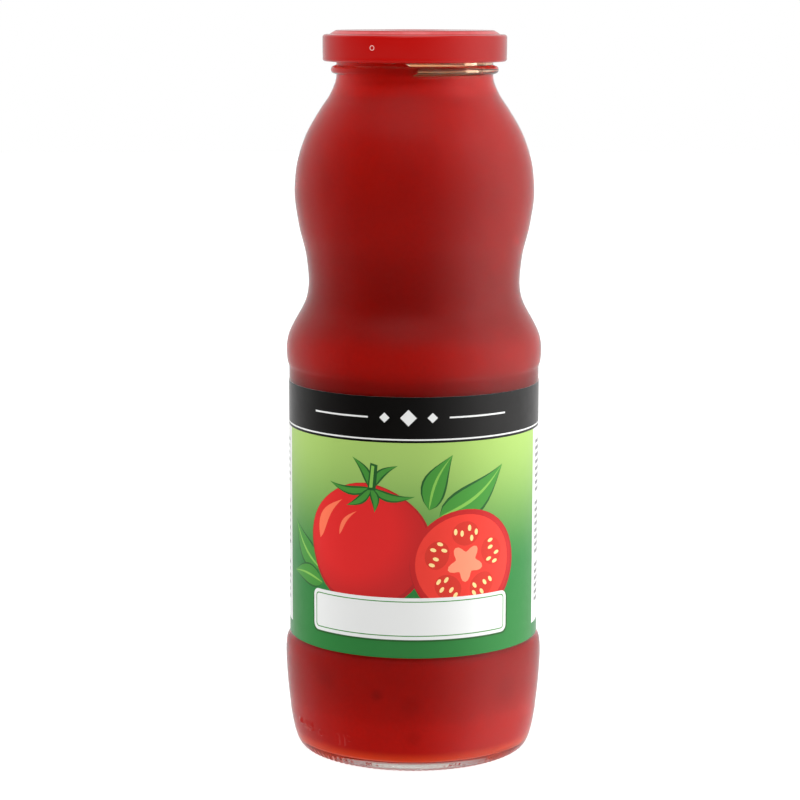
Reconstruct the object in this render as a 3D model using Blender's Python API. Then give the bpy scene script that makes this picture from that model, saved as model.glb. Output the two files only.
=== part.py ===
"""A filled glass passata bottle: the bottle, the passata in it, its twist-off lid and its wrapped label."""

import math

import bmesh
import bpy
import numpy as np

# Lengths are in metres and heights are counted up from the surface the bottle stands on.

# Whole bottle
SEGMENTS = 48                   # flats round every turned piece
FIT_GAP = 0.0003                # clearance between pieces that touch
SAME_HEIGHT = 0.0001            # closer rings of faces than this count as one
SLOPE_STEP = 0.0001             # height step for reading the slope of an outline
SHARP_EDGE = 35.0               # degrees; flatter edges are shaded smooth

# Glass, outside
BEARING_INNER_RADIUS = 0.0280   # inner edge of the flat ring it stands on
BEARING_RADIUS = 0.0330         # outer edge of that ring
HEEL_HEIGHT = 0.0108            # top of the rounded heel
HEEL_RADIUS = 0.03745
HEEL_ROUNDNESS = 0.36           # power of the heel's curve; less is a fuller corner
LOWER_RING_HEIGHT = 0.0289      # widest place below the label
LOWER_RING_RADIUS = 0.03885
PANEL_BOTTOM = 0.0349           # straight recessed band that carries the label
PANEL_TOP = 0.1164
PANEL_RADIUS = 0.03750
UPPER_RING_HEIGHT = 0.1216      # widest place above the label
UPPER_RING_RADIUS = 0.03830
WAIST_HEIGHT = 0.1415           # hand grip
WAIST_RADIUS = 0.03155
BULGE_HEIGHT = 0.1685           # upper bulge
BULGE_RADIUS = 0.03570
NECK_BOTTOM = 0.2018
NECK_RADIUS = 0.02320
BEAD_HEIGHT = 0.2045            # rounded ring under the lid
BEAD_RADIUS = 0.02480
BEAD_HALF_HEIGHT = 0.0012
BEAD_ROUNDNESS = 0.6            # power of the bead's curve; less is a squarer ring
FINISH_RADIUS = 0.02460         # glass inside the lid
FINISH_TOP = 0.2134             # rim that the lid seals on
RIM_CHAMFER = 0.0007            # broken edges of that rim

# Glass, inside
WALL = 0.0026
FLOOR_THICKNESS = 0.0042
PUSH_UP = 0.0036                # height of the dome under the base
FLOOR_FILLET = 0.0080           # radius between the floor and the wall
FLOOR_FILLET_END = -15.0        # degrees below level at which the fillet meets the wall

# Passata
FILL_LEVEL = 0.2032

# Lid
LID_RADIUS = 0.02725
LID_TOP = 0.2160
LID_BOTTOM = 0.2069
LID_SHEET = 0.0007
LID_SHOULDER_DROP = 0.0016      # from the raised panel down to the shoulder
LID_PANEL_RADIUS = 0.0235
LID_PANEL_SLOPE = 0.0016        # width of the slope round the raised panel
LID_CORNER = 0.0008
LID_CURL_INNER_RADIUS = 0.0258
LID_CURL_HEIGHT = 0.0013
BUTTON_RADIUS = 0.0105          # round centre, drawn in by the vacuum
BUTTON_SLOPE = 0.0012
BUTTON_DROP = 0.0006

# Label
LABEL_BOTTOM = 0.0353
LABEL_TOP = 0.1123
LABEL_THICKNESS = 0.0003

# Height and radius of the glass from the heel to the neck
BODY_OUTLINE = (
    (HEEL_HEIGHT, HEEL_RADIUS),
    (0.0213, 0.03850),
    (LOWER_RING_HEIGHT, LOWER_RING_RADIUS),
    (0.0329, 0.03858),
    (PANEL_BOTTOM, PANEL_RADIUS),
    (PANEL_TOP, PANEL_RADIUS),
    (0.1179, 0.03802),
    (UPPER_RING_HEIGHT, UPPER_RING_RADIUS),
    (0.1251, 0.03788),
    (0.1297, 0.03590),
    (0.1345, 0.03320),
    (0.1375, 0.03205),
    (WAIST_HEIGHT, WAIST_RADIUS),
    (0.1492, 0.03222),
    (0.1587, 0.03445),
    (BULGE_HEIGHT, BULGE_RADIUS),
    (0.1751, 0.03525),
    (0.1844, 0.03264),
    (0.1937, 0.02745),
    (0.1970, 0.02515),
    (0.1996, 0.02400),
    (NECK_BOTTOM, NECK_RADIUS),
)

# Where the outer wall has a ring of faces: shares of the heel's height, then heights
HEEL_SHARES = (0.0, 0.04, 0.14, 0.32, 0.60)
LOWER_STATIONS = (*np.linspace(HEEL_HEIGHT, LOWER_RING_HEIGHT, 4), 0.0314, 0.0335, PANEL_BOTTOM)
UPPER_STATIONS = (PANEL_TOP, 0.1179, 0.1197, UPPER_RING_HEIGHT, 0.1234)
SHOULDER_STATIONS = np.linspace(0.1251, WAIST_HEIGHT, 7)
BULGE_STATIONS = np.linspace(WAIST_HEIGHT, BULGE_HEIGHT, 7)
TOP_STATIONS = np.linspace(BULGE_HEIGHT, NECK_BOTTOM, 11)

# Outside heights that the inner wall is set in from; it leaves out the small steps of the label panel
INNER_LOWER_STATIONS = (0.0180, LOWER_RING_HEIGHT, 0.0380, 0.1150, UPPER_RING_HEIGHT)
INNER_SHOULDER_STATIONS = np.linspace(0.1262, WAIST_HEIGHT, 5)
INNER_BULGE_STATIONS = np.linspace(WAIST_HEIGHT, BULGE_HEIGHT, 5)
INNER_TOP_STATIONS = np.linspace(BULGE_HEIGHT, NECK_BOTTOM, 8)


def smooth_outline(keys, heights):
    """Radii at the given heights on a smooth curve through (height, radius) keys that never overshoots them."""
    z = np.array([key[0] for key in keys])
    r = np.array([key[1] for key in keys])
    step = np.diff(z)
    slope = np.diff(r) / step
    tangent = np.zeros(len(z))
    tangent[0] = slope[0]
    for i in range(1, len(z) - 1):
        if slope[i - 1] * slope[i] > 0:
            tangent[i] = 2 * slope[i - 1] * slope[i] / (slope[i - 1] + slope[i])
    radii = []
    for height in heights:
        i = min(max(int(np.searchsorted(z, height, side="right")) - 1, 0), len(step) - 1)
        t = (height - z[i]) / step[i]
        below = r[i] * (1 + 2 * t) * (1 - t) ** 2 + tangent[i] * step[i] * t * (1 - t) ** 2
        above = r[i + 1] * t * t * (3 - 2 * t) - tangent[i + 1] * step[i] * t * t * (1 - t)
        radii.append(float(below + above))
    return radii


def arc(centre_radius, centre_height, size, start_deg, end_deg, steps):
    """Points (radius, height) on a circular arc; 0 degrees points outwards and 90 degrees up."""
    points = []
    for i in range(steps + 1):
        angle = math.radians(start_deg + (end_deg - start_deg) * i / steps)
        points.append((centre_radius + size * math.cos(angle), centre_height + size * math.sin(angle)))
    return points


def dome(edge_radius, edge_height, rise, steps):
    """A shallow dome from the axis out to just short of its edge."""
    points = []
    for i in range(steps):
        radius = edge_radius * i / steps
        points.append((radius, edge_height + rise * (1 - (radius / edge_radius) ** 2)))
    return points


def offset_inwards(points, distance):
    """The same outline moved towards its inner side by a distance measured square to it."""
    moved = []
    for i, (radius, height) in enumerate(points):
        before = points[max(i - 1, 0)]
        after = points[min(i + 1, len(points) - 1)]
        run = after[0] - before[0]
        rise = after[1] - before[1]
        length = math.hypot(run, rise)
        moved.append((radius - distance * rise / length, height + distance * run / length))
    return moved


def rising(*groups):
    """The heights of several groups in one list, with a height that two groups share named once."""
    heights = []
    for group in groups:
        for height in group:
            if not heights or height > heights[-1] + SAME_HEIGHT:
                heights.append(float(height))
    return heights


def heel():
    """Rounded corner between the bearing ring and the wall."""
    points = []
    for share in HEEL_SHARES:
        width = (HEEL_RADIUS - BEARING_RADIUS) * share ** HEEL_ROUNDNESS
        points.append((BEARING_RADIUS + width, HEEL_HEIGHT * share))
    return points


def body_wall():
    """Outer wall of the glass from the heel to the bottom of the neck."""
    heights = rising(LOWER_STATIONS, UPPER_STATIONS, SHOULDER_STATIONS, BULGE_STATIONS, TOP_STATIONS)
    return list(zip(smooth_outline(BODY_OUTLINE, heights), heights))


def neck():
    """Neck, bead and the finish inside the lid, going up to the sealing rim."""
    points = [(NECK_RADIUS, BEAD_HEIGHT - BEAD_HALF_HEIGHT)]
    for angle in (-50, 0, 50):
        swell = (BEAD_RADIUS - NECK_RADIUS) * math.cos(math.radians(angle)) ** BEAD_ROUNDNESS
        points.append((NECK_RADIUS + swell, BEAD_HEIGHT + BEAD_HALF_HEIGHT * math.sin(math.radians(angle))))
    points.append((NECK_RADIUS, BEAD_HEIGHT + BEAD_HALF_HEIGHT))
    points.append((FINISH_RADIUS, LID_BOTTOM))
    points.append((FINISH_RADIUS, FINISH_TOP - RIM_CHAMFER))
    points.append((FINISH_RADIUS - RIM_CHAMFER, FINISH_TOP))
    return points


def inner_wall():
    """Inner wall of the glass, one wall thickness in from the outer one, from the floor fillet to the mouth."""
    heights = rising(INNER_LOWER_STATIONS, INNER_SHOULDER_STATIONS, INNER_BULGE_STATIONS, INNER_TOP_STATIONS)
    points = []
    for height in heights:
        near = (height - SLOPE_STEP, height, height + SLOPE_STEP)
        outside = list(zip(smooth_outline(BODY_OUTLINE, near), near))
        points.append(offset_inwards(outside, WALL)[1])
    mouth = NECK_RADIUS - WALL
    points.append((mouth, BEAD_HEIGHT))
    points.append((mouth, FINISH_TOP - RIM_CHAMFER))
    return points


def floor_inside():
    """Floor of the bottle from the axis out to the start of the inner wall."""
    edge = inner_wall()[0][0] - FLOOR_FILLET
    points = dome(edge, FLOOR_THICKNESS, PUSH_UP, 4)
    points += arc(edge, FLOOR_THICKNESS + FLOOR_FILLET, FLOOR_FILLET, -90, FLOOR_FILLET_END, 4)
    return points


def bottle_outline():
    points = dome(BEARING_INNER_RADIUS, 0.0, PUSH_UP, 5)
    points.append((BEARING_INNER_RADIUS, 0.0))
    points += heel()
    points += body_wall()
    points += neck()
    points.append((NECK_RADIUS - WALL + RIM_CHAMFER, FINISH_TOP))
    points += reversed(inner_wall())
    points += reversed(floor_inside())
    return points


def passata_outline():
    """The inside of the glass up to the fill level, less the gap, closed by a flat top."""
    inside = floor_inside() + inner_wall()
    filled = [point for point in inside if point[1] < FILL_LEVEL]
    lower = filled[-1]
    upper = inside[len(filled)]
    share = (FILL_LEVEL - lower[1]) / (upper[1] - lower[1])
    filled.append((lower[0] + share * (upper[0] - lower[0]), FILL_LEVEL))
    points = offset_inwards(filled, FIT_GAP)
    points[0] = (0.0, points[0][1])
    points[-1] = (points[-1][0], FILL_LEVEL)
    points.append((0.0, FILL_LEVEL))
    return points


def lid_outline():
    """Pressed lid with a raised panel, a narrow shoulder, a straight skirt and a curled lower edge."""
    shoulder = LID_TOP - LID_SHOULDER_DROP
    inside = LID_RADIUS - LID_SHEET
    edge = LID_CORNER / 2
    points = [
        (0.0, LID_TOP - BUTTON_DROP),
        (BUTTON_RADIUS - BUTTON_SLOPE, LID_TOP - BUTTON_DROP),
        (BUTTON_RADIUS, LID_TOP),
        (LID_PANEL_RADIUS, LID_TOP),
        (LID_PANEL_RADIUS + LID_PANEL_SLOPE, shoulder),
    ]
    points += arc(LID_RADIUS - LID_CORNER, shoulder - LID_CORNER, LID_CORNER, 90, 0, 3)
    points += arc(LID_RADIUS - edge, LID_BOTTOM + edge, edge, 0, -90, 2)
    points += [
        (LID_CURL_INNER_RADIUS + edge, LID_BOTTOM),
        (LID_CURL_INNER_RADIUS, LID_BOTTOM + edge),
        (LID_CURL_INNER_RADIUS, LID_BOTTOM + LID_CURL_HEIGHT),
        (inside, LID_BOTTOM + LID_CURL_HEIGHT + LID_SHEET),
        (inside, shoulder - LID_CORNER),
        (inside - edge, shoulder - LID_SHEET),
        (LID_PANEL_RADIUS + LID_PANEL_SLOPE - edge, shoulder - LID_SHEET),
        (LID_PANEL_RADIUS - edge, LID_TOP - LID_SHEET),
        (BUTTON_RADIUS, LID_TOP - LID_SHEET),
        (BUTTON_RADIUS - BUTTON_SLOPE, LID_TOP - BUTTON_DROP - LID_SHEET),
        (0.0, LID_TOP - BUTTON_DROP - LID_SHEET),
    ]
    return points


def label_outline():
    inner = PANEL_RADIUS + FIT_GAP
    outer = inner + LABEL_THICKNESS
    return [(outer, LABEL_BOTTOM), (outer, LABEL_TOP), (inner, LABEL_TOP), (inner, LABEL_BOTTOM)]


def make_material(name, colour, roughness, metallic=0.0, transmission=0.0):
    material = bpy.data.materials.new(name)
    material.use_nodes = True
    shader = material.node_tree.nodes["Principled BSDF"]
    shader.inputs["Base Color"].default_value = (*colour, 1.0)
    shader.inputs["Roughness"].default_value = roughness
    shader.inputs["Metallic"].default_value = metallic
    shader.inputs["Transmission Weight"].default_value = transmission
    return material


def turned(name, outline, material, ring=False):
    """A solid of revolution about +Z. A ring's outline joins its own start; others start and end on the axis."""
    bm = bmesh.new()
    verts = [bm.verts.new((radius, 0.0, height)) for radius, height in outline]
    edges = [bm.edges.new(pair) for pair in zip(verts, verts[1:])]
    if ring:
        edges.append(bm.edges.new((verts[-1], verts[0])))
    bmesh.ops.spin(
        bm,
        geom=verts + edges,
        cent=(0.0, 0.0, 0.0),
        axis=(0.0, 0.0, 1.0),
        angle=math.tau,
        steps=SEGMENTS,
        use_merge=True,
    )
    bmesh.ops.remove_doubles(bm, verts=bm.verts[:], dist=0.000002)  # closes the points on the axis
    bmesh.ops.recalc_face_normals(bm, faces=bm.faces[:])
    mesh = bpy.data.meshes.new(name)
    bm.to_mesh(mesh)
    bm.free()
    mesh.shade_smooth()
    mesh.set_sharp_from_angle(angle=math.radians(SHARP_EDGE))
    mesh.materials.append(material)
    piece = bpy.data.objects.new(name, mesh)
    bpy.context.scene.collection.objects.link(piece)


for item in list(bpy.data.objects):
    bpy.data.objects.remove(item)

turned("bottle", bottle_outline(), make_material("clear_glass", (0.93, 0.96, 0.95), 0.03, transmission=1.0))
turned("passata", passata_outline(), make_material("passata", (0.27, 0.012, 0.007), 0.32))
turned("cap", lid_outline(), make_material("red_enamel", (0.53, 0.010, 0.012), 0.28, metallic=0.1))
turned("label", label_outline(), make_material("label_paper", (0.16, 0.42, 0.08), 0.38), ring=True)
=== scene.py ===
import math

import bmesh
import bpy
import numpy as np
from mathutils.geometry import delaunay_2d_cdt
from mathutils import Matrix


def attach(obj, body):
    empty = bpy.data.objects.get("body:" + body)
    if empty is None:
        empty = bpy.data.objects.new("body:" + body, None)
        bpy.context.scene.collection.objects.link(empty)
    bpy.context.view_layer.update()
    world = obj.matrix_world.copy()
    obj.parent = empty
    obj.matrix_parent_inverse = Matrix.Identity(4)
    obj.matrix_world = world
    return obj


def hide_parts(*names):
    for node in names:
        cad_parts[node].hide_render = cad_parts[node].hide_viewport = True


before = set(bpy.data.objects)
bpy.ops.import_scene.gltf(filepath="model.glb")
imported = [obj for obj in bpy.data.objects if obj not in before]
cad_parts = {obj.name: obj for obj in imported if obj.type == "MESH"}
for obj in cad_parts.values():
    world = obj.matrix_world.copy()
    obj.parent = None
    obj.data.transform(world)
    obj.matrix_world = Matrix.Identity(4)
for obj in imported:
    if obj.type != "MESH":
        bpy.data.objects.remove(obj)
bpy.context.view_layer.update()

print("frame loaded:", sorted(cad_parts))

# Metres for the solids, millimetres for the print.
# Azimuth is in degrees: 0 faces the camera, + is to its right.


def linearColour(hexText):
    # sRGB hex to the linear values that the shaders work in
    parts = [int(hexText[i:i + 2], 16) / 255 for i in (1, 3, 5)]
    return (*[c / 12.92 if c <= 0.04045 else ((c + 0.055) / 1.055) ** 2.4 for c in parts], 1.0)


def addNode(tree, kind, settings=None, links=None):
    # a setting is named for an input socket (name or number) or, failing that, for a property of the node
    node = tree.nodes.new(kind)
    for name, value in (settings or {}).items():
        if isinstance(name, int) or name in node.inputs:
            node.inputs[name].default_value = value
        else:
            setattr(node, name, value)
    for name, source in (links or {}).items():
        tree.links.new(source, node.inputs[name])
    return node


def newMaterial(name, settings):
    material = bpy.data.materials.new(name)
    material.use_nodes = True
    tree = material.node_tree
    tree.nodes.clear()
    surface = addNode(tree, "ShaderNodeBsdfPrincipled", settings)
    addNode(tree, "ShaderNodeOutputMaterial", links={"Surface": surface.outputs[0]})
    place = addNode(tree, "ShaderNodeTexCoord").outputs["Object"]
    return material, tree, surface, place


def keyedCurve(keys, heights):
    # smooth radii through (height, radius) keys, without overshoot
    z = np.array([key[0] for key in keys])
    r = np.array([key[1] for key in keys])
    step = np.diff(z)
    slope = np.diff(r) / step
    tangent = np.zeros(len(z))
    tangent[0] = slope[0]
    for i in range(1, len(z) - 1):
        if slope[i - 1] * slope[i] > 0:
            tangent[i] = 2 * slope[i - 1] * slope[i] / (slope[i - 1] + slope[i])
    i = np.clip(np.searchsorted(z, heights, side="right") - 1, 0, len(step) - 1)
    t = (heights - z[i]) / step[i]
    lower = r[i] * (1 + 2 * t) * (1 - t) ** 2 + tangent[i] * step[i] * t * (1 - t) ** 2
    upper = r[i + 1] * t * t * (3 - 2 * t) - tangent[i + 1] * step[i] * t * t * (1 - t)
    return lower + upper


def setCurve(node, steps):
    # puts the (position, value) steps on a curve node
    curve = node.mapping.curves[0]
    while len(curve.points) < len(steps):
        curve.points.new(0.5, 0.5)
    for point, place in zip(curve.points, steps):
        point.location = place
    node.mapping.update()


def smoothStep(low, high, value):
    t = np.clip((value - low) / (high - low), 0.0, 1.0)
    return t * t * (3 - 2 * t)


def arcPoints(centreRadius, centreHeight, size, startDeg, endDeg, steps):
    angles = np.radians(np.linspace(startDeg, endDeg, steps + 1))
    return [(centreRadius + size * math.cos(a), centreHeight + size * math.sin(a)) for a in angles]


def solidMesh(name, verts, faces, materials, slots=None, sharp=None):
    # faces turned outwards; with sharp, it is shaded smooth across edges that bend by fewer degrees than that
    mesh = bpy.data.meshes.new(name)
    mesh.from_pydata(verts, [], faces)
    if slots:
        mesh.polygons.foreach_set("material_index", slots)
    work = bmesh.new()
    work.from_mesh(mesh)
    bmesh.ops.recalc_face_normals(work, faces=work.faces[:])
    work.to_mesh(mesh)
    work.free()
    if sharp:
        mesh.shade_smooth()
        mesh.set_sharp_from_angle(angle=math.radians(sharp))
    for material in materials:
        mesh.materials.append(material)
    return mesh


def linkObject(name, data):
    made = bpy.data.objects.new(name, data)
    bpy.context.scene.collection.objects.link(made)
    return made


def turnedPiece(name, outline, azimuths, materials, change=None, slotOf=None, sharp=30.0):
    # turns (radius, height) points about the axis; change() moves them by azimuth, slotOf() picks a material
    stations = np.array(outline)
    angle = np.radians(np.array(azimuths))
    radius = np.repeat(stations[:, :1], len(angle), axis=1)
    height = np.repeat(stations[:, 1:], len(angle), axis=1)
    if change:
        radius, height = change(radius, height, np.repeat(angle[None, :], len(stations), axis=0))
    verts = []
    rows = []
    for i in range(len(stations)):
        if stations[i, 0] < 1e-9:
            rows.append([len(verts)] * len(angle))
            verts.append((0.0, 0.0, float(height[i, 0])))
            continue
        rows.append(list(range(len(verts), len(verts) + len(angle))))
        ring = np.stack((radius[i] * np.sin(angle), -radius[i] * np.cos(angle), height[i]), axis=1)
        verts.extend(ring.tolist())
    faces = []
    slots = []
    closed = stations[0, 0] > 1e-9
    for i in range(len(rows) - (0 if closed else 1)):
        low, high = rows[i], rows[(i + 1) % len(rows)]
        for j in range(len(angle)):
            k = (j + 1) % len(angle)
            face = [low[j], low[k], high[k], high[j]]
            faces.append([v for n, v in enumerate(face) if v not in face[:n]])
            slots.append(slotOf(i) if slotOf else 0)
    piece = linkObject(name, solidMesh(name, verts, faces, materials, slots, sharp))
    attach(piece, "root")
    print("made", name, len(faces), "faces")
    return piece


# Camera, as the photograph was taken: a little above the lid, looking slightly down
camera = {
    "lens": 111.75, "sensor": 36.0, "nearest": 0.01,
    "place": (-0.0044, -0.7400, 0.2245), "pitchDown": 9.132, "roll": -0.113,
}

eye = bpy.data.cameras.new("photoCamera")
eye.lens = camera["lens"]
eye.sensor_width = camera["sensor"]
eye.clip_start = camera["nearest"]
eyeObject = linkObject("photoCamera", eye)
eyeObject.location = camera["place"]
eyeObject.rotation_euler = (math.radians(90.0 - camera["pitchDown"]), math.radians(camera["roll"]), 0.0)
bpy.context.scene.camera = eyeObject
bpy.context.scene.view_settings.view_transform = "Standard"
print("camera set")

# Glass bottle
glass = {
    "bodyKeys": (                   # height and radius up the outside
        (0.0108, 0.03745), (0.0213, 0.03850), (0.0289, 0.03885), (0.0329, 0.03858), (0.0349, 0.03750),
        (0.1164, 0.03750), (0.1179, 0.03802), (0.1216, 0.03830), (0.1251, 0.03788), (0.1297, 0.03590),
        (0.1345, 0.03320), (0.1375, 0.03205), (0.1415, 0.03155), (0.1492, 0.03222), (0.1587, 0.03445),
        (0.1685, 0.03570), (0.1751, 0.03525), (0.1844, 0.03264), (0.1937, 0.02745), (0.1970, 0.02515),
        (0.1996, 0.02400), (0.2018, 0.02320),
    ),
    "panelKeys": (3, 4, 5, 6),      # the label panel's steps, which the inner wall doesn't follow
    "edgeHeights": (0.0328, 0.0346, 0.0370, 0.1144, 0.1168, 0.1190),
    "edgeSoftness": (0.0008, 0.00035, 0.0003, 0.0003, 0.00035, 0.0010),  # at those heights
    "wall": 0.0026,
    "bearing": (0.0280, 0.0330),    # inner and outer radius of the ring it stands on
    "heel": (0.0108, 0.03745, 0.36),     # the rounding above it: height and radius of its top, its power
    "heelSteps": (0.0, 0.002, 0.006, 0.014, 0.027, 0.045, 0.07, 0.10, 0.135, 0.175, 0.22, 0.27, 0.33, 0.39),
    "rings": (                      # rings up the outside: lowest, highest and how many
        (0.0112, 0.0160, 13), (0.0170, 0.0322, 15), (0.0328, 0.0356, 8),
        (0.0400, 0.1120, 10), (0.1154, 0.1184, 8), (0.1191, 0.2018, 86),
    ),
    "lowerInnerRings": (0.1150, 24),                # the same inside, from the top of the heel
    "upperInnerRings": (0.1165, 0.2018, 64),
    "pushUp": (0.0036, 0.0028, 0.0012),  # hollow base: height at the axis, at its rim, and the rim's rounding
    "neck": 0.02320,
    "neckFoot": 0.2018,
    "bead": (0.2045, 0.0248, 0.0012),    # height, radius and half thickness of the ring round the neck
    "finish": (0.0246, 0.2069, 0.2134),  # the mouth under the lid: radius, foot and top
    "lip": 0.0007,                       # rounding of the mouth
    "floor": (0.0078, 0.0058, 0.0240),   # inside: height at the axis, and height and radius of the dome's rim
    "groove": (0.0304, 0.0030, 0.0168),  # the ring where the inside is lowest, and where the wall begins
    "ridges": (110, 0.00012, 0.0022),    # count, depth and height of the gripping ridges round the foot
    "ridgeRadii": (0.0290, 0.0334),      # they grow to their full depth between these
    "ridgeLift": 0.7,                    # how far they also lift the foot, as a share of their depth
    "seam": (0.00005, 1.2, 97.0),        # mould parting line: height in metres, reach and azimuth in degrees
    "seamFoot": 0.004,
    "marks": 0.00050,                    # how far the moulded marks stand up
    "markEdge": (-0.22, 0.12),           # their rounded edge, in mm from the outline
    "markRadius": 37.4,                  # of the heel at their height, in mm
    "fineSpan": (-62.0, -30.0, 298.0),   # azimuths: in fine steps to the second, then in coarse ones
    "azimuthSteps": (0.25, 1.25),
}

# moulded marks on the heel: azimuth in degrees, then height, half length and half width in mm
# a round stud is as long as it is wide
heelMarks = (
    (-64.0, 10.4, 0.85, 0.85), (-57.0, 10.6, 2.4, 0.45), (-57.0, 9.0, 2.4, 0.45), (-47.5, 9.2, 0.95, 0.95),
    (-36.4, 8.6, 0.45, 1.7), (-33.4, 8.6, 0.45, 1.7), (-30.9, 9.5, 0.85, 0.85),
)


def glassRadius(keys, heights):
    # the keyed curve averaged over a millimetre or so of height, less at the crisp edges of the label panel
    soft = np.interp(heights, glass["edgeHeights"], glass["edgeSoftness"])
    total = np.zeros(len(heights))
    weight = 0.0
    for offset in np.linspace(-2.0, 2.0, 17):
        share = math.exp(-0.5 * offset ** 2)
        near = np.clip(heights + offset * soft, keys[0][0], keys[-1][0])
        total += share * keyedCurve(keys, near)
        weight += share
    return total / weight


def insideProfile(grow):
    # floor, fillet and inner wall from the axis up to the neck; grow moves it that far into the glass
    keys = [key for i, key in enumerate(glass["bodyKeys"]) if i not in glass["panelKeys"]]
    lowerRings = np.linspace(glass["groove"][2], *glass["lowerInnerRings"])
    heights = np.concatenate((lowerRings, np.linspace(*glass["upperInnerRings"])))
    outside = glassRadius(keys, heights)
    slope = np.gradient(outside, heights)
    lean = np.sqrt(1 + slope ** 2)
    wall = glass["wall"] - grow
    side = [(r - wall / n, z + wall * s / n) for r, z, s, n in zip(outside, heights, slope, lean)]
    middle, rim, domeRadius = glass["floor"]
    lowRadius, lowest, wallStart = glass["groove"]
    points = [(domeRadius * i / 10, middle - (middle - rim) * (i / 10) ** 2 - grow) for i in range(10)]
    for t in np.linspace(0.0, 1.0, 9):
        drop = (lowest - rim) * smoothStep(0, 1, t)
        points.append((domeRadius + (lowRadius - domeRadius) * t, rim + drop - grow))
    for degrees in np.linspace(8, 90, 15):
        out = (side[0][0] - lowRadius) * math.sin(math.radians(degrees))
        down = (wallStart - lowest) * math.cos(math.radians(degrees))
        points.append((lowRadius + out, wallStart - down - grow * 0.5))
    return points + side[1:]


def outsideProfile():
    inner, outer = glass["bearing"]
    top, heelRadius, power = glass["heel"]
    points = []
    middle, rim, bend = glass["pushUp"]
    for i in range(10):
        r = (inner - bend) * i / 9
        points.append((r, middle - (middle - rim) * (i / 9) ** 2))
    points += arcPoints(inner - bend, rim - bend, bend, 72, 0, 5)
    points += [(inner, 0.0006), (inner + 0.0004, 0.0), ((inner + outer) / 2, 0.0)]
    for t in (*glass["heelSteps"], *np.linspace(0.42, 0.98, 32)):
        points.append((outer + (heelRadius - outer) * t ** power, top * t))
    heights = np.concatenate([np.linspace(*rings) for rings in glass["rings"]])
    points += list(zip(glassRadius(glass["bodyKeys"], heights), heights))
    neck = glass["neck"]
    beadHeight, beadRadius, half = glass["bead"]
    points += [(neck, 0.2025), (neck, beadHeight - half - 0.0002)]
    for degrees in np.linspace(-75, 75, 11):
        swell = (beadRadius - neck) * math.cos(math.radians(degrees)) ** 0.6
        points.append((neck + swell, beadHeight + half * math.sin(math.radians(degrees))))
    radius, low, high = glass["finish"]
    points += [(neck, beadHeight + half + 0.0002), (neck, low + 0.0006), (neck, low + 0.0012)]
    points += [(radius, low + 0.0020), (radius, 0.2100), (radius, high - glass["lip"])]
    return points + [(radius - glass["lip"], high)]


def markHeight(azimuth, height):
    # rounded-off pads for the moulded marks, 0 to 1
    total = np.zeros_like(azimuth)
    for markAzimuth, markZ, halfLong, halfWide in heelMarks:
        along = (np.degrees(azimuth) - markAzimuth) * math.radians(1.0) * glass["markRadius"]
        up = height * 1000 - markZ
        if halfLong == halfWide:
            away = np.sqrt(along ** 2 + up ** 2) - halfLong
        else:
            away = np.maximum(np.abs(along) - halfLong, np.abs(up) - halfWide)
        total = np.maximum(total, 1 - smoothStep(*glass["markEdge"], away))
    return total


def glassRelief(radius, height, angle):
    outside = np.zeros_like(radius)
    outside[:len(outsideProfile())] = 1.0
    wrapped = (angle + math.pi) % math.tau - math.pi
    count, depth, reach = glass["ridges"]
    foot = smoothStep(*glass["ridgeRadii"], radius) * (1 - smoothStep(reach * 0.5, reach, height)) * outside
    radius = radius - depth * foot * (0.5 - 0.5 * np.cos(count * angle))
    height = height + depth * glass["ridgeLift"] * foot * (0.5 - 0.5 * np.cos(count * angle))
    seamHigh, seamReach, seamAzimuth = glass["seam"]
    fromSeam = np.abs(np.degrees((wrapped - math.radians(seamAzimuth)) % math.pi))
    fromSeam = np.minimum(fromSeam, 180 - fromSeam)
    body = (height > glass["seamFoot"]) & (height < glass["neckFoot"])
    radius = radius + seamHigh * outside * body * (1 - smoothStep(0.0, seamReach, fromSeam))
    radius = radius + glass["marks"] * markHeight(wrapped, height) * outside
    return radius, height


fineFrom, fineTo, lastAzimuth = glass["fineSpan"]
fineStep, coarseStep = glass["azimuthSteps"]
glassAzimuths = np.concatenate((
    np.arange(fineFrom, fineTo, fineStep), np.arange(fineTo, lastAzimuth, coarseStep),
))

clearGlass, tree, surface, place = newMaterial("clearGlassMoulded", {
    "Base Color": linearColour("#f3faf6"), "Roughness": 0.0, "IOR": 1.5, "Transmission Weight": 1.0,
})
# soda-lime container glass, blown in a metal mould and fire polished: clear, hard mirror gloss, slow waves
waves = addNode(tree, "ShaderNodeTexNoise", {"Scale": 45.0, "Detail": 1.0}, {"Vector": place})     # 22 mm
bump = addNode(tree, "ShaderNodeBump", {"Strength": 0.10, "Distance": 0.0006}, {"Height": waves.outputs[0]})
tree.links.new(bump.outputs[0], surface.inputs["Normal"])

glassOutline = outsideProfile()
mouthTop, bore = glass["finish"][2], glass["neck"] - glass["wall"]
glassOutline += [(bore + glass["lip"], mouthTop)]
glassOutline += [(bore, z) for z in (mouthTop - glass["lip"], 0.2080, 0.2045, 0.2030)]
glassOutline += reversed(insideProfile(0.0))
bottlePiece = turnedPiece("bottleGlass", glassOutline, glassAzimuths, [clearGlass], glassRelief, sharp=40.0)
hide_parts("bottle")

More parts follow.
